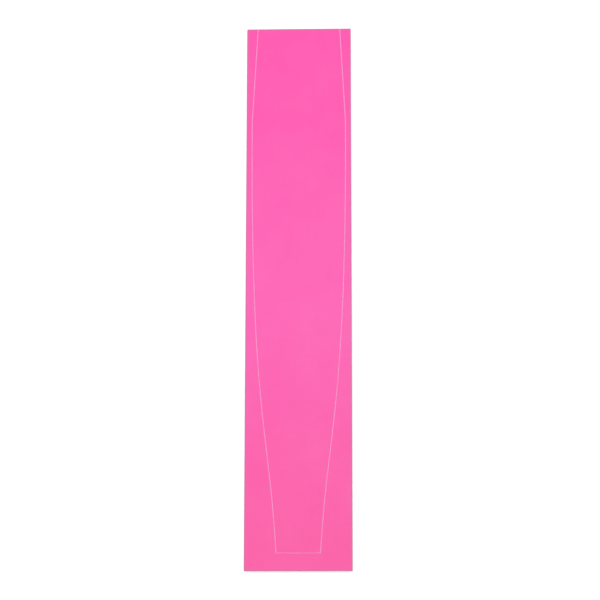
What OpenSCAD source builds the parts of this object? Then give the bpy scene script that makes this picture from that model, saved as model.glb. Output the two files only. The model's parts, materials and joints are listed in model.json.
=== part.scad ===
// Scoring board
//
// A long, thin craft board. Its coloured face sheet is cut through along one tapered outline, and
// the white core shows in the cut as a fine pale line, along which a stylus creases card.
// A low-tack film holds the face sheet's centre, which lifts out and serves as a template.
//
// Origin: middle of the underside. +X runs across the board, +Y along it to the far end, where the
// outline runs off, and +Z up through the face. All sizes are in millimetres.

/* [Board] */
// Length of the board
board_l = 305; // [220:1:620]
// Width of the board
board_w = 58.5; // [44:0.5:130]

/* [Score line] */
// Width of the cut along the outline
score_w = 0.1; // [0.05:0.05:1.5]
// Board's side to the middle of the cut at the shoulder, where the outline is widest
side_margin = 3.1; // [2:0.1:8]
// Board's side to the middle of the cut at the far end
far_margin = 6.2; // [2:0.1:12]
// Board's near end to the middle of the cut's cross run
end_margin = 9.7; // [4:0.1:25]
// Width of the outline at its cross run
end_run = 24; // [12:0.5:30]
// Board's far end to the shoulder
shoulder_gap = 55; // [20:1:90]
// Angle between the board's length and a side of the outline as it leaves the cross run
end_flare = 3.3; // [0:0.1:10]
// Reach of a side's curve from the cross run, as a share of the curved stretch
end_pull = 0.29; // [0.1:0.01:0.5]
// Reach of a side's curve from the shoulder, as a share of the curved stretch
shoulder_pull = 0.69; // [0.3:0.01:0.9]

/* [Layers] */
// Thickness of the coloured face sheet
face_t = 0.3; // [0.2:0.05:1.5]
// Thickness of each adhesive or tack film
film_t = 0.1; // [0.05:0.05:0.3]
// Thickness of the white core
core_t = 2; // [1:0.1:5]

/* [Grip mat] */
// Thickness of the grip mat
mat_t = 1; // [0.5:0.1:3]
// Board's edge to the mat's edge
mat_inset = 1.5; // [0.5:0.1:6]
// Radius of the mat's corners
mat_corner_r = 2; // [0.5:0.1:8]

/* [Hidden] */

// Straight segments that follow the curve on each side of the outline
curve_steps = 24;
// How far a cutting shape runs past the edge that it cuts
cut_past = 1;

// Underside of each layer, counted up from the surface that the mat rests on
mat_adhesive_z = mat_t;
core_z = mat_adhesive_z + film_t;
face_film_z = core_z + core_t;
face_z = face_film_z + film_t;

// Where the outline's right-hand side turns, along Y and out from the middle
end_y = end_margin - board_l / 2;
far_y = board_l / 2;
shoulder_y = far_y - shoulder_gap;
end_half = end_run / 2;
shoulder_half = board_w / 2 - side_margin;
far_half = board_w / 2 - far_margin;

// Control points of the cubic curve from the cross run to the shoulder
curve_l = shoulder_y - end_y;
end_reach = end_pull * curve_l;
shoulder_reach = shoulder_pull * curve_l;
side_curve = [
    [end_half, end_y],
    [end_half + end_reach * tan(end_flare), end_y + end_reach],
    [shoulder_half, shoulder_y - shoulder_reach],
    [shoulder_half, shoulder_y]
];

// A point of the side curve, from the cross run at t = 0 to the shoulder at t = 1
function on_side_curve(t) =
    pow(1 - t, 3) * side_curve[0]
    + 3 * t * pow(1 - t, 2) * side_curve[1]
    + 3 * pow(t, 2) * (1 - t) * side_curve[2]
    + pow(t, 3) * side_curve[3];

// The outline's right-hand side, moved outwards by grow, with the far end run on by run_past
function right_side(grow, run_past) = [
    [end_half + grow, end_y - grow],
    for (i = [1 : curve_steps])
        on_side_curve(i / curve_steps) + [grow, 0],
    [far_half + grow, far_y],
    if (run_past > 0)
        [far_half + grow, far_y + run_past]
];

// The left-hand side, from the far end back to the cross run
function left_side(right) = [
    for (i = [len(right) - 1 : -1 : 0])
        [-right[i].x, right[i].y]
];

module tapered_outline(grow, run_past = 0) {
    right = right_side(grow, run_past);
    polygon(concat(right, left_side(right)));
}

module board_outline() {
    square([board_w, board_l], center = true);
}

// What lies inside the cut
module centre_outline() {
    tapered_outline(-score_w / 2);
}

// What lies outside the cut
module surround_outline() {
    difference() {
        board_outline();
        tapered_outline(score_w / 2, cut_past);
    }
}

module mat_outline() {
    mat_w = board_w - 2 * mat_inset;
    mat_l = board_l - 2 * mat_inset;
    square([mat_w, mat_l - 2 * mat_corner_r], center = true);
    square([mat_w - 2 * mat_corner_r, mat_l], center = true);
    for (side = [-1, 1], end = [-1, 1])
        translate([side * (mat_w / 2 - mat_corner_r), end * (mat_l / 2 - mat_corner_r)])
            circle(r = mat_corner_r, $fn = 32);
}

// A flat sheet that stands on the height z
module sheet(z, thickness) {
    translate([0, 0, z])
        linear_extrude(thickness)
            children();
}

// White plastic sheet that carries the face and shows in the cut
module core_board() {
    color("white") sheet(core_z, core_t) board_outline();
}

// Permanent adhesive under the outer part of the face sheet
module surround_adhesive() {
    color("lavenderblush") sheet(face_film_z, film_t) surround_outline();
}

// Outer part of the face sheet, open at the far end
module surround_panel() {
    color("hotpink") sheet(face_z, face_t) surround_outline();
}

// Low-tack film on the back of the centre panel
module centre_tack_film() {
    color("mistyrose") sheet(face_film_z, film_t) centre_outline();
}

// Centre of the face sheet, which lifts out
module centre_panel() {
    color("hotpink") sheet(face_z, face_t) centre_outline();
}

// Adhesive between the grip mat and the core
module grip_mat_adhesive() {
    color("gainsboro") sheet(mat_adhesive_z, film_t) mat_outline();
}

// Soft sheet that keeps the board from sliding
module grip_mat() {
    color("dimgray") sheet(0, mat_t) mat_outline();
}

core_board();
surround_adhesive();
surround_panel();
centre_tack_film();
centre_panel();
grip_mat_adhesive();
grip_mat();
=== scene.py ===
"""Scoring board: refined pieces, finishes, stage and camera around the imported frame."""

import json
import math

import bpy
from bpy.props import FloatProperty, FloatVectorProperty, PointerProperty
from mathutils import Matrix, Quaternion, Vector

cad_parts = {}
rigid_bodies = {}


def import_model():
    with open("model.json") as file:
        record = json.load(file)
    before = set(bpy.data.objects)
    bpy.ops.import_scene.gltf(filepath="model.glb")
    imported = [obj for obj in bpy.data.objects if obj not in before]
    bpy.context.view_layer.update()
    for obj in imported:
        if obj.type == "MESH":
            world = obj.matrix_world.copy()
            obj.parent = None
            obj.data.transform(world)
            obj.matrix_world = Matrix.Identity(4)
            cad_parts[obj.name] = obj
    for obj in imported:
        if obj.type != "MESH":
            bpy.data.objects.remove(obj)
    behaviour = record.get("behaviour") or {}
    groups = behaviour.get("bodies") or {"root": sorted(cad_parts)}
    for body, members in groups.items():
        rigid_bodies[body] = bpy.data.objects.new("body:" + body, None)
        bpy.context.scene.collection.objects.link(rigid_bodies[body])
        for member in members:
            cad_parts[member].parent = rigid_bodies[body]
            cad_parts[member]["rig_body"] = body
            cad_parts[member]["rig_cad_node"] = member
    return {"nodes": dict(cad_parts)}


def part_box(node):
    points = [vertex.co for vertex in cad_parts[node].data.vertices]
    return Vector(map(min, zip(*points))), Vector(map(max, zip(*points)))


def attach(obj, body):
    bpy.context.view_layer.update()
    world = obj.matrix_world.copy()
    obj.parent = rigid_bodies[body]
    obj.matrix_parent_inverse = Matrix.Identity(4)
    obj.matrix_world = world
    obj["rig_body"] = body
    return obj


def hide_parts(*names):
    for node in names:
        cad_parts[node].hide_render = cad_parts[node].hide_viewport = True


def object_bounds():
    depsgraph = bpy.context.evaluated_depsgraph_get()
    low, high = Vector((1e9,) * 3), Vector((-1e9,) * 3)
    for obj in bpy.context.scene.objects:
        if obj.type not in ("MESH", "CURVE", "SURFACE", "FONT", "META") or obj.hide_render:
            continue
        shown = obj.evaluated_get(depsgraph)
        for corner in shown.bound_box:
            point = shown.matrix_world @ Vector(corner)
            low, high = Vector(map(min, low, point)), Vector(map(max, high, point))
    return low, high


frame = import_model()
CAD_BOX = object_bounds()

bl_info = {
    "name": "Scoring Board",
    "version": (1, 0, 0),
    "blender": (4, 5, 0),
    "location": "3D View > Sidebar > Scoring Board",
    "description": "Finishes the layers of a scoring board and sets its stage",
    "category": "Object",
}

MM = 0.001
WHITE = (1.0, 1.0, 1.0)
BOARD_LOW, BOARD_HIGH = CAD_BOX

# Corners of a CAD node's loose triangles that lie closer than this are one corner
WELD = 0.002 * MM
# Triangles that turn less than this lie in one flat face
COPLANAR = math.radians(0.02)
# A point this close to a plane lies on it
ON_PLANE = 0.02 * MM
# Size of the normal's Z above which a face counts as level, and below which it counts as upright
LEVEL = 0.999
UPRIGHT = 0.01
# Facets that turn less than this belong to one curved side
SMOOTH_TURN = math.radians(12)
# Strips of faces across a rounded edge
ROUNDING_STRIPS = 3
# Fullness of the face sheet's rounded edges, where 0.25 is a straight chamfer and 0.5 a quarter circle
SHEET_FULLNESS = 0.35

# Most values of a noise texture lie between these two
NOISE_LOW = 0.3
NOISE_HIGH = 0.7
# The Mix node's sockets for colours, among those for its other kinds of data
MIX_FACTOR, MIX_FIRST, MIX_SECOND, MIX_RESULT = 0, 6, 7, 2


def length(name, description, default):
    """A setting for a size in metres."""
    return FloatProperty(name=name, description=description, default=default, min=0, precision=5,
                         subtype="DISTANCE", unit="LENGTH")


def point(name, description, default):
    """A setting for a place in metres."""
    return FloatVectorProperty(name=name, description=description, default=default, size=3,
                               subtype="TRANSLATION", unit="LENGTH")


def colour(name, description, default):
    """A setting for a colour."""
    return FloatVectorProperty(name=name, description=description, default=default, min=0, max=1,
                               size=3, subtype="COLOR")


def share(name, description, default):
    """A setting from 0 to 1."""
    return FloatProperty(name=name, description=description, default=default, min=0, max=1,
                         subtype="FACTOR")


def angle(name, description, default_degrees):
    """A setting for an angle, whose default is given in degrees."""
    return FloatProperty(name=name, description=description, default=math.radians(default_degrees),
                         subtype="ANGLE", unit="ROTATION")


class FaceSettings(bpy.types.PropertyGroup):
    """The pink face sheet, outside and inside the cut"""

    # The three pinks hold painted light: the middle pink is paler by a painted sheen, and the near and far
    # pinks carry a warmer and a cooler painted tint of light.
    near_colour: colour("Near pink", "Face colour at the narrow end of the outline", (0.975, 0.075, 0.362))
    middle_colour_painted_sheen: colour("Middle pink", "Face colour halfway along the board", (0.975, 0.085, 0.441))
    far_colour: colour("Far pink", "Face colour where the outline runs off", (0.975, 0.051, 0.4))
    cut_colour: colour("Whitened pink", "Colour of the edges that the knife has stressed",
                       (1.0, 0.23, 0.62))
    # The outer edges are painted darker than the face.
    sheared_colour: colour("Sheared pink", "Colour of the outer edges, darkened by the guillotine",
                           (0.68, 0.12, 0.35))
    worn_colour: colour("Worn pink", "Face colour where handling has dulled it most", (0.62, 0.18, 0.36))
    roughness: share("Roughness", "Roughness of the calendered face", 0.4)
    streaking: share("Streaking", "How far the streaks raise and lower the roughness", 0.03)
    gloss: share("Gloss", "Specular level of the matt-coated face", 0.25)
    clouding: share("Clouding", "How much white the pink holds in its palest clouds", 0.03)
    # The grain's tops are painted paler than its hollows, as painted light and shade of the grain's
    # relief.
    painted_grain_shading: share("Frosting", "How much white the tops of the grain hold", 0.03)
    stressing: share("Stressing", "How much white the most stressed stretches of the cut hold", 0.06)
    roll_over: length("Roll-over", "Width of the rounding along the sheet's outer edges", 0.25 * MM)
    cut_bevel: length("Cut bevel", "Width of the rounding along the sides of the cut", 0.25 * MM)
    end_bevel: length("End bevel", "Width of the rounding along the cut's cross run", 0.16 * MM)
    cloud: length("Clouds", "Spacing of the slow clouds", 45 * MM)
    streak: length("Streaks", "Spacing of the fine streaks, which run along the board", 1.2 * MM)
    grain: length("Grain", "Spacing of the fine grain on the face", 0.25 * MM)
    grain_depth: length("Grain depth", "Depth of the fine grain", 0.015 * MM)
    wear: length("Wear", "How far the wear along the board's sides reaches in", 1.2 * MM)
    wear_patch: length("Wear patches", "Spacing of the patches in the wear", 1.5 * MM)


class CoreSettings(bpy.types.PropertyGroup):
    """The white sheet under the face"""

    base: colour("Core white", "Colour of the core", (0.96, 0.92, 0.93))
    edge_radius: length("Edge radius", "Rounding of the core's edges", 0.12 * MM)
    mottle: length("Mottle", "Spacing of the faint mottle", 6 * MM)
    mark: length("Shear marks", "Spacing of the marks down the cut sides", 0.5 * MM)
    mark_depth: length("Mark depth", "Depth of the shear marks", 0.03 * MM)


class FilmSettings(bpy.types.PropertyGroup):
    """The adhesive and tack films"""

    adhesive: colour("Adhesive", "Colour of the permanent adhesive", (0.95, 0.87, 0.9))
    adhesive_dot: length("Adhesive dots", "Spacing of the dots in the permanent adhesive", 2 * MM)
    tack: colour("Tack film", "Colour of the low-tack film under the centre panel", (0.96, 0.8, 0.86))
    tack_dot: length("Tack dots", "Spacing of the dots in the low-tack film", 0.8 * MM)


class MatSettings(bpy.types.PropertyGroup):
    """The non-slip mat"""

    base: colour("Mat grey", "Colour of the mat", (0.12, 0.12, 0.128))
    rim: length("Rim", "Width of the plain rim around the studs", 2.5 * MM)
    pitch: length("Stud pitch", "Distance from stud to stud", 2.5 * MM)
    gap: length("Stud gap", "Channel between two studs at their roots", 0.7 * MM)
    height: length("Stud height", "Depth of the channels between the studs", 0.4 * MM)
    draft: length("Stud draft", "How far each side of a stud leans in", 0.15 * MM)
    edge_radius: length("Edge radius", "Rounding of the mat's outer edges", 0.15 * MM)
    dust: length("Dust", "Spacing of the paler, dusty places", 14 * MM)
    pore: length("Pores", "Spacing of the pores", 0.2 * MM)
    pore_depth: length("Pore depth", "Depth of the pores", 0.02 * MM)


class StageSettings(bpy.types.PropertyGroup):
    """Camera, light and floor"""

    azimuth: angle("Azimuth", "Camera's turn around the board from the near end", 9.33)
    elevation: angle("Elevation", "Camera's height above the horizon", 78.23)
    roll: angle("Roll", "Camera's turn about its own line of sight", -9.45)
    distance: length("Distance", "Camera to the point that it looks at", 1.17)
    aim: point("Aim", "Point of the face that the camera looks at", (0.8 * MM, -4.04 * MM, BOARD_HIGH.z))
    lens: FloatProperty(name="Lens", description="Focal length in millimetres, for a 36 mm sensor",
                        default=127.5, min=1, unit="CAMERA")
    key_light: share("Key light", "Part of the light on the face that the softbox gives", 0.45)
    softbox: length("Softbox", "Side of the square softbox, which looks straight down", 1.6)
    softbox_place: point("Softbox place", "Middle of the softbox", (0, 0.3, 1.5))
    floor_side: length("Floor side", "Side of the square floor", 6.0)
    floor_colour: colour("Floor colour", "Colour of the floor", (0.9, 0.9, 0.9))
    floor_lift: share("Floor lift", "Light that the floor adds beside the board, to show white there", 0.3)
    lit_reach: length("Lit reach", "How far from the middle the floor still shows shadows in full", 0.3)
    white_reach: length("White reach", "How far from the middle the floor turns plain white", 0.6)


def deselect():
    """Leaves edit mode, with nothing selected."""
    if bpy.context.mode != "OBJECT":
        bpy.ops.object.mode_set(mode="OBJECT")
    bpy.ops.object.select_all(action="DESELECT")


def active_object():
    return bpy.context.view_layer.objects.active


def copy_of_node(node, name):
    """A merged copy of a CAD node's mesh, with each flat side as one face, left in edit mode."""
    low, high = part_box(node)
    deselect()
    frame["nodes"][node].select_set(True)
    bpy.context.view_layer.objects.active = frame["nodes"][node]
    bpy.ops.object.duplicate()
    bpy.ops.object.parent_clear(type="CLEAR")
    piece = active_object()
    piece.name = name
    piece.data.name = name
    piece.data.materials.clear()
    # The copy is no CAD node, so it sheds the marks of one
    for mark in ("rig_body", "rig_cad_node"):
        del piece[mark]
    bpy.ops.object.mode_set(mode="EDIT")
    bpy.ops.mesh.select_all(action="SELECT")
    bpy.ops.mesh.remove_doubles(threshold=WELD)
    bpy.ops.mesh.customdata_custom_splitnormals_clear()
    for z in (low.z, high.z):
        select_faces(piece, lambda face: lies_level(face, z))
        bpy.ops.mesh.dissolve_faces()
    select_faces(piece, lambda face: abs(face.normal.z) < UPRIGHT)
    bpy.ops.mesh.tris_convert_to_quads(face_threshold=COPLANAR, shape_threshold=math.pi)
    return piece


def select_edges(piece, wanted):
    """In edit mode, selects the edges whose two ends together pass the test."""
    bpy.ops.mesh.select_mode(type="EDGE")
    bpy.ops.mesh.select_all(action="DESELECT")
    bpy.ops.object.mode_set(mode="OBJECT")
    places = [corner.co for corner in piece.data.vertices]
    for edge in piece.data.edges:
        edge.select = wanted(*(places[i] for i in edge.vertices))
    bpy.ops.object.mode_set(mode="EDIT")


def select_faces(piece, wanted):
    """In edit mode, selects the faces that pass the test."""
    bpy.ops.mesh.select_mode(type="FACE")
    bpy.ops.mesh.select_all(action="DESELECT")
    bpy.ops.object.mode_set(mode="OBJECT")
    for face in piece.data.polygons:
        face.select = wanted(face)
    bpy.ops.object.mode_set(mode="EDIT")


def select_borders():
    """In edit mode, selects the edges where the mesh is open."""
    bpy.ops.mesh.select_mode(type="EDGE")
    bpy.ops.mesh.select_all(action="DESELECT")
    bpy.ops.mesh.select_non_manifold()


def lies_level(face, z):
    return abs(face.normal.z) > LEVEL and abs(face.center.z - z) < ON_PLANE


def both_at_height(a, b, z):
    return abs(a.z - z) < ON_PLANE and abs(b.z - z) < ON_PLANE


def near_board_side(places, reach):
    """Whether all the places lie within reach of the same one of the board's four sides."""
    return any(
        all(abs(place[axis] - corner[axis]) < reach for place in places)
        for axis in (0, 1)
        for corner in CAD_BOX
    )


def weigh_edges(piece, weight, wanted):
    """Adds to the bevel weight of the edges that pass the test, which is 0 on a fresh piece."""
    select_edges(piece, wanted)
    bpy.ops.transform.edge_bevelweight(value=weight)


def bevel_weighed_edges(piece, width):
    """Rounds the weighed edges in one go, so that the roundings meet cleanly at the corners."""
    bpy.ops.object.mode_set(mode="OBJECT")
    bpy.ops.object.modifier_add(type="BEVEL")
    bevel = piece.modifiers[-1]
    bevel.limit_method = "WEIGHT"
    bevel.width = width
    bevel.segments = ROUNDING_STRIPS
    bevel.profile = SHEET_FULLNESS
    bpy.ops.object.modifier_apply(modifier=bevel.name)
    bpy.ops.object.mode_set(mode="EDIT")


def paint_faces(piece, material, wanted):
    """Gives the faces that pass the test a further material."""
    select_faces(piece, wanted)
    piece.data.materials.append(material)
    piece.active_material_index = len(piece.data.materials) - 1
    bpy.ops.object.material_slot_assign()


def finish_piece(piece, body, node):
    """Leaves edit mode, smooths the curves, checks the size and ties the piece to the frame."""
    bpy.ops.mesh.select_all(action="SELECT")
    bpy.ops.mesh.normals_make_consistent(inside=False)
    bpy.ops.object.mode_set(mode="OBJECT")
    bpy.ops.object.shade_smooth_by_angle(angle=SMOOTH_TURN)
    low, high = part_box(node)
    for corner in piece.data.vertices:
        if any(not low[i] - ON_PLANE < corner.co[i] < high[i] + ON_PLANE for i in range(3)):
            raise RuntimeError(piece.name + " reaches out of its node's box")
    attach(piece, body)
    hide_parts(node)


def start_material(name):
    """A material with its node tree, its shader and the object's own coordinates."""
    material = bpy.data.materials.new(name)
    material.use_nodes = True
    tree = material.node_tree
    shader = next(node for node in tree.nodes if node.type == "BSDF_PRINCIPLED")
    place = tree.nodes.new("ShaderNodeTexCoord").outputs["Object"]
    return material, tree, shader, place


def feed(tree, socket, value):
    """Links a node's output to the socket, or sets the socket to a plain number or colour."""
    if isinstance(value, bpy.types.NodeSocket):
        tree.links.new(value, socket)
    elif socket.type == "RGBA":
        socket.default_value = (*value, 1.0)
    else:
        socket.default_value = value


def noise(tree, place, spacing, detail=2.0, roughness=0.5, stretch=(1, 1, 1)):
    """Noise whose features are about spacing metres apart, times stretch along each axis."""
    mapping = tree.nodes.new("ShaderNodeMapping")
    mapping.inputs["Scale"].default_value = [1 / (spacing * times) for times in stretch]
    texture = tree.nodes.new("ShaderNodeTexNoise")
    texture.inputs["Scale"].default_value = 1.0
    texture.inputs["Detail"].default_value = detail
    texture.inputs["Roughness"].default_value = roughness
    tree.links.new(place, mapping.inputs["Vector"])
    tree.links.new(mapping.outputs["Vector"], texture.inputs["Vector"])
    return texture.outputs["Fac"]


def spread(tree, value, low=0.0, high=1.0, from_low=NOISE_LOW, from_high=NOISE_HIGH):
    """Maps a range of values onto low to high, and what lies beyond it onto the nearer of these."""
    node = tree.nodes.new("ShaderNodeMapRange")
    node.inputs["From Min"].default_value = from_low
    node.inputs["From Max"].default_value = from_high
    node.inputs["To Min"].default_value = low
    node.inputs["To Max"].default_value = high
    tree.links.new(value, node.inputs["Value"])
    return node.outputs["Result"]


def mixed(tree, factor, first, second):
    """A colour between two others, each of which is a colour or a node's output."""
    node = tree.nodes.new("ShaderNodeMix")
    node.data_type = "RGBA"
    feed(tree, node.inputs[MIX_FACTOR], factor)
    feed(tree, node.inputs[MIX_FIRST], first)
    feed(tree, node.inputs[MIX_SECOND], second)
    return node.outputs[MIX_RESULT]


def mixed_shader(tree, factor, first, second):
    """A shader between two others."""
    node = tree.nodes.new("ShaderNodeMixShader")
    for socket, output in zip(node.inputs, (factor, first, second)):
        tree.links.new(output, socket)
    return node.outputs["Shader"]


def computed(tree, operation, *values):
    """Result of an arithmetic operation on values, each of which is a number or a node's output."""
    node = tree.nodes.new("ShaderNodeMath")
    node.operation = operation
    for socket, value in zip(node.inputs, values):
        feed(tree, socket, value)
    return node.outputs["Value"]


def axes_of(tree, place):
    """X, Y and Z of a place, by name."""
    node = tree.nodes.new("ShaderNodeSeparateXYZ")
    tree.links.new(place, node.inputs["Vector"])
    return node.outputs


def graded_along_board(tree, place, colours):
    """A colour that runs through the given ones, evenly from the near end of the board to the far end."""
    ramp = tree.nodes.new("ShaderNodeValToRGB")
    stops = ramp.color_ramp.elements
    while len(stops) < len(colours):
        stops.new(position=0.5)
    for index, value in enumerate(colours):
        stops[index].position = index / (len(colours) - 1)
        stops[index].color = (*value, 1.0)
    along = spread(tree, axes_of(tree, place)["Y"], from_low=BOARD_LOW.y, from_high=BOARD_HIGH.y)
    tree.links.new(along, ramp.inputs["Fac"])
    return ramp.outputs["Color"]


def reach_from_side(tree, place):
    """Distance from the nearest of the board's four sides."""
    axes = axes_of(tree, place)
    reaches = [
        computed(tree, "SUBTRACT", half, computed(tree, "ABSOLUTE", axes[name]))
        for name, half in (("X", BOARD_HIGH.x), ("Y", BOARD_HIGH.y))
    ]
    return computed(tree, "MINIMUM", *reaches)


def side_wear(tree, place, reach, patch):
    """1 along the board's sides, which fades in patches to 0 about reach metres in."""
    patches = noise(tree, place, patch, detail=5.0, roughness=0.75)
    stretch = spread(tree, patches, low=0.4, high=1.6)
    distance = computed(tree, "MULTIPLY", reach_from_side(tree, place), stretch)
    return spread(tree, distance, low=1.0, high=0.0, from_low=0.0, from_high=reach)


def add_bump(tree, shader, height, depth, strength):
    """Lets the height, which runs from 0 to 1, stand for depth metres of relief."""
    node = tree.nodes.new("ShaderNodeBump")
    node.inputs["Strength"].default_value = strength
    node.inputs["Distance"].default_value = depth
    tree.links.new(height, node.inputs["Height"])
    tree.links.new(node.outputs["Normal"], shader.inputs["Normal"])


def tinted(base, factor):
    """The colour made lighter by a factor above 1, or darker by one below it."""
    return tuple(min(1.0, channel * factor) for channel in base)


def pink_sheet(face):
    """Calendered plastic sheet with slow clouds, faint streaks, a fine grain and worn sides, whose colour
    holds painted light: a painted sheen halfway along, a warmer and a cooler painted tint of light at the
    ends, and painted shade in the grain's hollows.
    """
    material, tree, shader, place = start_material("pink_sheet")
    # Painted light: the face is paler halfway along, a painted sheen, and warmer and cooler at its ends, a
    # painted tint of light.
    painted_light_grade = graded_along_board(tree, place, (face.near_colour, face.middle_colour_painted_sheen, face.far_colour))
    clouds = noise(tree, place, face.cloud, detail=7.0, roughness=0.7)
    clouded = mixed(tree, spread(tree, clouds, high=face.clouding), painted_light_grade, WHITE)
    grain = noise(tree, place, face.grain, detail=3.0)
    # Painted shade: the grain's hollows stay darker and its tops paler, following the same noise as its
    # bump.
    with_painted_grain_shade = mixed(tree, spread(tree, grain, high=face.painted_grain_shading), clouded, WHITE)
    wear = side_wear(tree, place, face.wear, face.wear_patch)
    feed(tree, shader.inputs["Base Color"], mixed(tree, wear, with_painted_grain_shade, face.worn_colour))
    streaks = noise(tree, place, face.streak, stretch=(1, 60, 1))
    smooth, rough = face.roughness - face.streaking, face.roughness + face.streaking
    feed(tree, shader.inputs["Roughness"], spread(tree, streaks, smooth, rough))
    feed(tree, shader.inputs["Specular IOR Level"], face.gloss)
    add_bump(tree, shader, grain, face.grain_depth, strength=1.0)
    return material


def cut_edge(name, base, other, spacing):
    """Edge of the pink sheet, which varies between two colours along its length."""
    material, tree, shader, place = start_material(name)
    uneven = noise(tree, place, spacing, detail=4.0)
    feed(tree, shader.inputs["Base Color"], mixed(tree, spread(tree, uneven), base, other))
    feed(tree, shader.inputs["Roughness"], spread(tree, uneven, low=0.5, high=0.6))
    burr = noise(tree, place, spacing=0.15 * MM)
    add_bump(tree, shader, burr, depth=0.01 * MM, strength=0.3)
    return material


def whitened_edge(face):
    """Edge of the cut, paler where the knife has stressed it more."""
    palest = Vector(face.cut_colour).lerp(WHITE, face.stressing)
    return cut_edge("whitened_edge", face.cut_colour, palest, spacing=3 * MM)


def sheared_edge(face):
    """Outer edge, painted darker than the face, and a little paler in patches along its length."""
    palest = tinted(face.sheared_colour, factor=1.15)
    return cut_edge("sheared_edge", face.sheared_colour, palest, spacing=4 * MM)


def white_core(core):
    """White sheet with a faint mottle, and shear marks down its cut sides."""
    material, tree, shader, place = start_material("white_core")
    mottle = spread(tree, noise(tree, place, core.mottle, detail=3.0))
    mottled = mixed(tree, mottle, core.base, tinted(core.base, factor=0.96))
    marks = noise(tree, place, core.mark, detail=4.0, roughness=0.6, stretch=(1, 1, 12))
    shade = spread(tree, marks, from_low=0.5, from_high=0.75)
    marked = mixed(tree, shade, mottled, tinted(core.base, factor=0.9))
    feed(tree, shader.inputs["Base Color"], marked)
    feed(tree, shader.inputs["Roughness"], spread(tree, marks, low=0.45, high=0.62))
    add_bump(tree, shader, marks, core.mark_depth, strength=0.8)
    return material


def film(name, base, spacing):
    """Thin, glossy adhesive sheet that is coated in fine dots."""
    material, tree, shader, place = start_material(name)
    dots = spread(tree, noise(tree, place, spacing, detail=1.0), from_low=0.42, from_high=0.58)
    feed(tree, shader.inputs["Base Color"], mixed(tree, dots, base, tinted(base, factor=0.93)))
    roughness = spread(tree, dots, low=0.22, high=0.4, from_low=0.0, from_high=1.0)
    feed(tree, shader.inputs["Roughness"], roughness)
    add_bump(tree, shader, dots, depth=0.01 * MM, strength=0.4)
    return material


def grip_rubber(mat):
    """Matt grey rubber with fine pores, dusted a little paler in places."""
    material, tree, shader, place = start_material("grip_rubber")
    dust = noise(tree, place, mat.dust, detail=5.0)
    dusted = mixed(tree, spread(tree, dust), mat.base, tinted(mat.base, factor=1.35))
    feed(tree, shader.inputs["Base Color"], dusted)
    feed(tree, shader.inputs["Roughness"], spread(tree, dust, low=0.72, high=0.86))
    pores = noise(tree, place, mat.pore, detail=3.0)
    add_bump(tree, shader, pores, mat.pore_depth, strength=0.35)
    return material


class SCORING_BOARD_OT_core_board(bpy.types.Operator):
    """Refine the white core sheet"""

    bl_idname = "scoring_board.core_board"
    bl_label = "Core Board"

    def execute(self, context):
        core = context.scene.scoring_board_core
        piece = copy_of_node("core_board", "core_board_sheet")
        piece.data.materials.append(white_core(core))
        bpy.ops.mesh.select_all(action="SELECT")
        bpy.ops.mesh.bevel(offset=core.edge_radius, segments=ROUNDING_STRIPS, affect="EDGES")
        finish_piece(piece, "board", "core_board")
        return {"FINISHED"}


class SCORING_BOARD_OT_face_panels(bpy.types.Operator):
    """Refine the two parts of the pink face sheet, outside and inside the cut"""

    bl_idname = "scoring_board.face_panels"
    bl_label = "Face Panels"

    def execute(self, context):
        face = context.scene.scoring_board_face
        sheet = pink_sheet(face)
        cut = whitened_edge(face)
        outer = sheared_edge(face)
        for node, body in (("surround_panel", "board"), ("centre_panel", "centre")):
            piece = copy_of_node(node, node + "_sheet")
            piece.data.materials.append(sheet)
            self.round_upper_edges(piece, face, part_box(node)[1].z)
            paint_faces(piece, cut, lambda side: self.finish_of(side, face) == "cut")
            paint_faces(piece, outer, lambda side: self.finish_of(side, face) == "outer")
            finish_piece(piece, body, node)
        return {"FINISHED"}

    def round_upper_edges(self, piece, face, top_z):
        """Rounds each of the sheet's upper edges by its own width."""
        widths = sorted({face.roll_over, face.cut_bevel, face.end_bevel})
        for width in widths:
            weigh_edges(piece, width / widths[-1], lambda a, b: (
                both_at_height(a, b, top_z) and self.rounding(a, b, face) == width))
        bevel_weighed_edges(piece, widths[-1])

    @staticmethod
    def rounding(a, b, face):
        """Width of the rounding along the upper edge from a to b."""
        if near_board_side((a, b), ON_PLANE):
            return face.roll_over
        if abs(a.y - b.y) < ON_PLANE:
            return face.end_bevel
        return face.cut_bevel

    @staticmethod
    def finish_of(side, face):
        """Whether a face of the mesh is on an outer edge, in the cut or on the flat of the sheet."""
        if abs(side.normal.z) > LEVEL:
            return "flat"
        return "outer" if near_board_side((side.center,), face.roll_over) else "cut"


class SCORING_BOARD_OT_films(bpy.types.Operator):
    """Finish the adhesive and tack films"""

    bl_idname = "scoring_board.films"
    bl_label = "Films"

    def execute(self, context):
        films = context.scene.scoring_board_films
        adhesive = film("clear_adhesive", films.adhesive, films.adhesive_dot)
        tack = film("tack_film", films.tack, films.tack_dot)
        for node, material in (
            ("surround_adhesive", adhesive),
            ("grip_mat_adhesive", adhesive),
            ("centre_tack_film", tack),
        ):
            for material_slot in frame["nodes"][node].material_slots:
                material_slot.material = material
        return {"FINISHED"}


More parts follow.
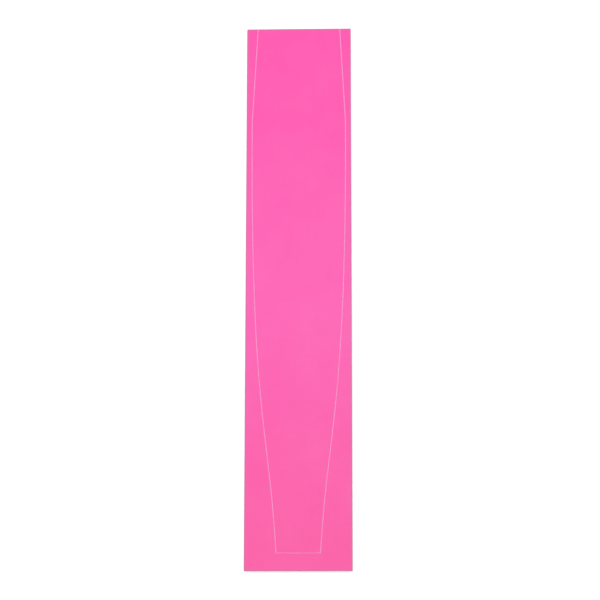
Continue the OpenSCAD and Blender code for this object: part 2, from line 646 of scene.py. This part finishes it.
class SCORING_BOARD_OT_grip_mat(bpy.types.Operator):
    """Model the non-slip mat with a rim and rows of studs on its underside"""

    bl_idname = "scoring_board.grip_mat"
    bl_label = "Grip Mat"

    def execute(self, context):
        mat = context.scene.scoring_board_mat
        low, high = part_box("grip_mat")
        rubber = grip_rubber(mat)
        field = self.stud_field(mat, low, high)
        field.data.materials.append(rubber)
        piece = copy_of_node("grip_mat", "grip_mat_sheet")
        piece.data.materials.append(rubber)
        select_edges(piece, lambda a, b: both_at_height(a, b, low.z) or both_at_height(a, b, high.z))
        bpy.ops.mesh.bevel(offset=mat.edge_radius, segments=ROUNDING_STRIPS, affect="EDGES")
        # The flat underside makes way for the studs, and the rim then closes the gap around them
        select_faces(piece, lambda face: lies_level(face, low.z))
        bpy.ops.mesh.delete(type="ONLY_FACE")
        bpy.ops.object.mode_set(mode="OBJECT")
        field.select_set(True)
        bpy.ops.object.join()
        bpy.ops.object.mode_set(mode="EDIT")
        select_borders()
        bpy.ops.mesh.bridge_edge_loops()
        finish_piece(piece, "board", "grip_mat")
        return {"FINISHED"}

    @staticmethod
    def stud_field(mat, low, high):
        """The recessed field of studs, whose border and studs come down to the mat's underside."""
        room = [high[axis] - low[axis] - 2 * mat.rim for axis in (0, 1)]
        counts = [int(side / mat.pitch) for side in room]
        middle = (low + high) / 2
        deselect()
        bpy.ops.mesh.primitive_grid_add(
            x_subdivisions=counts[0],
            y_subdivisions=counts[1],
            size=1,
            location=(middle.x, middle.y, low.z + mat.height),
        )
        field = active_object()
        bpy.ops.transform.resize(value=(counts[0] * mat.pitch, counts[1] * mat.pitch, 1))
        bpy.ops.object.transform_apply(location=True, rotation=True, scale=True)
        bpy.ops.object.mode_set(mode="EDIT")
        bpy.ops.mesh.select_all(action="SELECT")
        bpy.ops.mesh.flip_normals()
        select_borders()
        bpy.ops.mesh.extrude_edges_move(TRANSFORM_OT_translate={"value": (0, 0, -mat.height)})
        select_faces(field, lambda face: face.normal.z < -LEVEL)
        bpy.ops.mesh.inset(use_individual=True, thickness=mat.gap / 2, depth=0)
        bpy.ops.mesh.inset(use_individual=True, thickness=mat.draft, depth=mat.height)
        bpy.ops.object.mode_set(mode="OBJECT")
        return field


class SCORING_BOARD_OT_stage(bpy.types.Operator):
    """Set the floor, the light and the camera"""

    bl_idname = "scoring_board.stage"
    bl_label = "Stage"

    def execute(self, context):
        stage = context.scene.scoring_board_stage
        self.add_floor(stage)
        self.add_backdrop(context.scene, stage)
        self.add_softbox(stage)
        self.add_camera(context.scene, stage)
        context.scene.view_settings.view_transform = "Standard"
        return {"FINISHED"}

    @staticmethod
    def light_and_show(tree, output_kind, lighting, shown):
        """Ends a tree with one shader that lights the board, and another for rays that see it directly."""
        path = tree.nodes.new("ShaderNodeLightPath").outputs
        direct = path["Is Camera Ray"]
        for name in ("Is Glossy Ray", "Is Transmission Ray"):
            direct = computed(tree, "MAXIMUM", direct, path[name])
        output = tree.nodes.new(output_kind)
        tree.links.new(mixed_shader(tree, direct, lighting, shown), output.inputs["Surface"])

    @staticmethod
    def white_light(tree, kind, strength=1.0):
        """Output of a background or emission shader, which shows plain white at a strength of 1."""
        node = tree.nodes.new(kind)
        feed(tree, node.inputs["Color"], WHITE)
        feed(tree, node.inputs["Strength"], strength)
        return node.outputs[0]

    def add_floor(self, stage):
        """A floor that shows the board's shadow, and plain white further out."""
        deselect()
        bpy.ops.mesh.primitive_plane_add(size=stage.floor_side, location=(0, 0, BOARD_LOW.z))
        bpy.ops.object.transform_apply(location=True, rotation=True, scale=True)
        floor = active_object()
        floor.name = "floor"
        material = bpy.data.materials.new("floor")
        material.use_nodes = True
        floor.data.materials.append(material)
        tree = material.node_tree
        tree.nodes.clear()
        diffuse = tree.nodes.new("ShaderNodeBsdfDiffuse")
        feed(tree, diffuse.inputs["Color"], stage.floor_colour)
        near = tree.nodes.new("ShaderNodeAddShader")
        tree.links.new(diffuse.outputs["BSDF"], near.inputs[0])
        tree.links.new(self.white_light(tree, "ShaderNodeEmission", stage.floor_lift), near.inputs[1])
        far = self.white_light(tree, "ShaderNodeEmission")
        radius = tree.nodes.new("ShaderNodeVectorMath")
        radius.operation = "LENGTH"
        tree.links.new(tree.nodes.new("ShaderNodeTexCoord").outputs["Object"], radius.inputs[0])
        fade = spread(tree, radius.outputs["Value"], from_low=stage.lit_reach, from_high=stage.white_reach)
        shown = mixed_shader(tree, fade, near.outputs["Shader"], far)
        self.light_and_show(tree, "ShaderNodeOutputMaterial", diffuse.outputs["BSDF"], shown)

    def add_backdrop(self, scene, stage):
        """A world that gives the fill light, and shows as plain white."""
        scene.world = bpy.data.worlds.new("studio")
        scene.world.use_nodes = True
        tree = scene.world.node_tree
        tree.nodes.clear()
        fill = self.white_light(tree, "ShaderNodeBackground", 1 - stage.key_light)
        shown = self.white_light(tree, "ShaderNodeBackground")
        self.light_and_show(tree, "ShaderNodeOutputWorld", fill, shown)

    @staticmethod
    def add_softbox(stage):
        """A square lamp, as strong as it takes to give the face its part of the light."""
        deselect()
        bpy.ops.object.light_add(type="AREA", location=stage.softbox_place)
        lamp = active_object()
        lamp.name = "softbox"
        lamp.data.shape = "SQUARE"
        lamp.data.size = stage.softbox
        # View factor of the lamp for a level face, which is taken to lie straight below its middle
        half = stage.softbox / 2
        sine = half / math.hypot(stage.softbox_place.z, half)
        view_factor = 4 / math.pi * sine * math.atan(sine)
        radiance = stage.key_light / view_factor
        lamp.data.energy = radiance * math.pi * stage.softbox ** 2

    @staticmethod
    def add_camera(scene, stage):
        """The camera, at the photograph's viewing angle."""
        away = Vector((
            math.sin(stage.azimuth) * math.cos(stage.elevation),
            -math.cos(stage.azimuth) * math.cos(stage.elevation),
            math.sin(stage.elevation),
        ))
        deselect()
        bpy.ops.object.camera_add(location=stage.aim + away * stage.distance)
        camera = active_object()
        camera.name = "camera"
        camera.rotation_mode = "QUATERNION"
        level = (-away).to_track_quat("-Z", "Y")
        camera.rotation_quaternion = level @ Quaternion((0, 0, 1), stage.roll)
        camera.data.lens = stage.lens
        scene.camera = camera


class SCORING_BOARD_PT_panel(bpy.types.Panel):
    """Sizes, colours and steps of the scoring board"""

    bl_idname = "SCORING_BOARD_PT_panel"
    bl_label = "Scoring Board"
    bl_space_type = "VIEW_3D"
    bl_region_type = "UI"
    bl_category = "Scoring Board"

    def draw(self, context):
        for name, _, operator in STEPS:
            box = self.layout.box()
            settings = getattr(context.scene, name)
            for setting in settings.bl_rna.properties:
                if setting.identifier not in ("rna_type", "name"):
                    box.prop(settings, setting.identifier)
            box.operator(operator.bl_idname)


# The settings of each step, by their name on the scene, in the order in which the steps run
STEPS = (
    ("scoring_board_core", CoreSettings, SCORING_BOARD_OT_core_board),
    ("scoring_board_face", FaceSettings, SCORING_BOARD_OT_face_panels),
    ("scoring_board_films", FilmSettings, SCORING_BOARD_OT_films),
    ("scoring_board_mat", MatSettings, SCORING_BOARD_OT_grip_mat),
    ("scoring_board_stage", StageSettings, SCORING_BOARD_OT_stage),
)


def register():
    for name, settings, operator in STEPS:
        bpy.utils.register_class(settings)
        bpy.utils.register_class(operator)
        setattr(bpy.types.Scene, name, PointerProperty(type=settings))
    bpy.utils.register_class(SCORING_BOARD_PT_panel)


def unregister():
    bpy.utils.unregister_class(SCORING_BOARD_PT_panel)
    for name, settings, operator in reversed(STEPS):
        delattr(bpy.types.Scene, name)
        bpy.utils.unregister_class(operator)
        bpy.utils.unregister_class(settings)


def main():
    register()
    bpy.ops.scoring_board.core_board()
    bpy.ops.scoring_board.face_panels()
    bpy.ops.scoring_board.films()
    bpy.ops.scoring_board.grip_mat()
    bpy.ops.scoring_board.stage()


if __name__ == "__main__":
    main()
